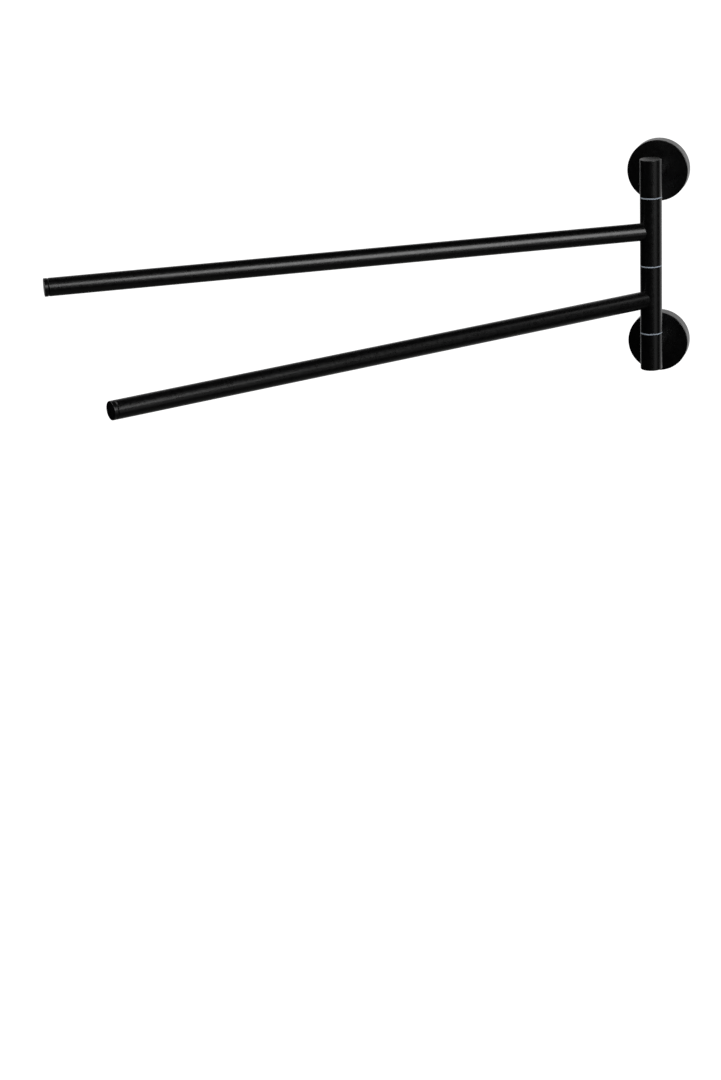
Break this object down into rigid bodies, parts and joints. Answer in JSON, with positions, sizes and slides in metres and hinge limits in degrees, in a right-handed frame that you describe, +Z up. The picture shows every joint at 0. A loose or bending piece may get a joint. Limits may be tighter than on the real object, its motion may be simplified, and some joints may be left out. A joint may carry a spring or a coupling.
{
  "type": "two-arm swivel towel holder",
  "caption": "Wall-mounted swivel towel holder: a slim round post on round rosettes carries straight tubular arms that swing independently in front of the wall.",
  "frame": {"origin": "on the wall plane, half-way between the two rosettes and in line with the post", "axes": "+Z up along the post, +Y into the wall, the arms stand out towards -Y"},
  "size_m": [0.4109, 0.3736, 0.1744],
  "materials": {
    "black_coat": "satin black powder coat",
    "pale_nylon": "natural nylon, smooth",
    "bearing_plastic": "acetal, machined",
    "bright_steel": "turned steel",
    "zinc_steel": "bright zinc plate",
    "black_steel": "black oxide"
  },
  "bodies": {
    "wall_frame": {"upper_wall_plate": "zinc_steel", "lower_wall_plate": "zinc_steel", "upper_rosette": "black_coat", "lower_rosette": "black_coat", "upper_grub_screw": "black_steel", "lower_grub_screw": "black_steel", "upper_neck": "black_coat", "lower_neck": "black_coat", "upper_neck_screw": "zinc_steel", "lower_neck_screw": "zinc_steel", "upper_end_post": "black_coat", "lower_end_post": "black_coat", "pivot_rod": "bright_steel", "clamp_screw": "black_steel", "spring_washer": "zinc_steel", "upper_washer": "pale_nylon", "middle_washer": "pale_nylon", "lower_washer": "pale_nylon"},
    "upper_arm": {"upper_hub": "black_coat", "upper_hub_bottom_bush": "bearing_plastic", "upper_hub_top_bush": "bearing_plastic", "upper_arm_spigot": "bright_steel", "upper_arm_tube": "black_coat", "upper_arm_cap": "black_coat"},
    "lower_arm": {"lower_hub": "black_coat", "lower_hub_bottom_bush": "bearing_plastic", "lower_hub_top_bush": "bearing_plastic", "lower_arm_spigot": "bright_steel", "lower_arm_tube": "black_coat", "lower_arm_cap": "black_coat"}
  },
  "joints": [
    {"name": "upper_arm_swivel", "type": "hinge", "parent": "wall_frame", "child": "upper_arm", "pos_m": [0, -0.036, 0.0253], "axis": [0, 0, 1], "range_deg": [-29.54, 150.46]},
    {"name": "lower_arm_swivel", "type": "hinge", "parent": "wall_frame", "child": "lower_arm", "pos_m": [0, -0.036, -0.0253], "axis": [0, 0, 1], "range_deg": [-48.84, 131.16]}
  ]
}
